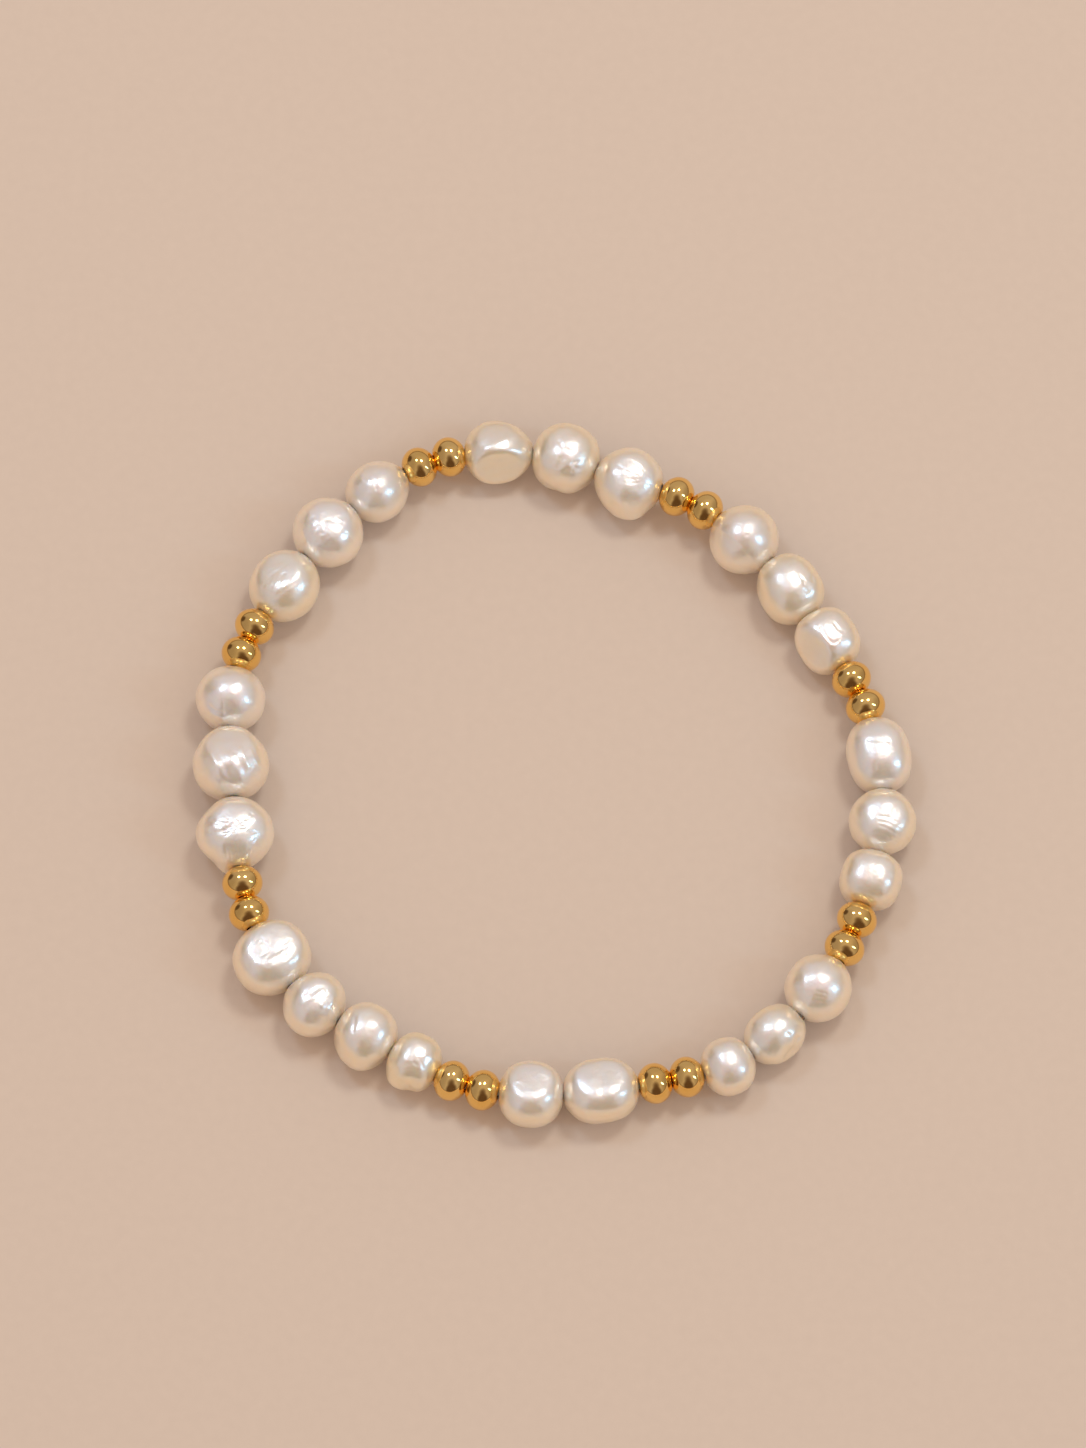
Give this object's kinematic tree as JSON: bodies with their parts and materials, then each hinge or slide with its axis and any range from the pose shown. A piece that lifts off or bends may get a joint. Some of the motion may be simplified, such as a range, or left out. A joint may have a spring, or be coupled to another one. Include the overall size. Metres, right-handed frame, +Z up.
{
  "type": "pearl bracelet",
  "caption": "Stretch bracelet of baroque freshwater pearls in short runs, with pairs of gilt spacer beads between them, lying flat as a closed loop.",
  "frame": {"origin": "on the table, at the middle of the bounding box of the loop", "axes": "+Z up, square to the loop that lies flat; +Y across the loop, away from the picture's viewer; +X to the viewer's right"},
  "size_m": [0.0724, 0.0746, 0.0072],
  "materials": {
    "nacre": "glossy white nacre with a soft cream and pink lustre",
    "gilt": "polished gold plate",
    "elastic": "clear white elastic"
  },
  "bodies": {
    "root": {"pearl_01": "nacre", "pearl_02": "nacre", "pearl_03": "nacre", "pearl_04": "nacre", "pearl_05": "nacre", "pearl_06": "nacre", "pearl_07": "nacre", "pearl_08": "nacre", "pearl_09": "nacre", "pearl_10": "nacre", "pearl_11": "nacre", "pearl_12": "nacre", "pearl_13": "nacre", "pearl_14": "nacre", "pearl_15": "nacre", "pearl_16": "nacre", "pearl_17": "nacre", "pearl_18": "nacre", "pearl_19": "nacre", "pearl_20": "nacre", "pearl_21": "nacre", "pearl_22": "nacre", "pearl_23": "nacre", "pearl_24": "nacre", "spacer_bead_01": "gilt", "spacer_bead_02": "gilt", "spacer_bead_03": "gilt", "spacer_bead_04": "gilt", "spacer_bead_05": "gilt", "spacer_bead_06": "gilt", "spacer_bead_07": "gilt", "spacer_bead_08": "gilt", "spacer_bead_09": "gilt", "spacer_bead_10": "gilt", "spacer_bead_11": "gilt", "spacer_bead_12": "gilt", "spacer_bead_13": "gilt", "spacer_bead_14": "gilt", "spacer_bead_15": "gilt", "spacer_bead_16": "gilt", "elastic_thread": "elastic"}
  },
  "joints": []
}
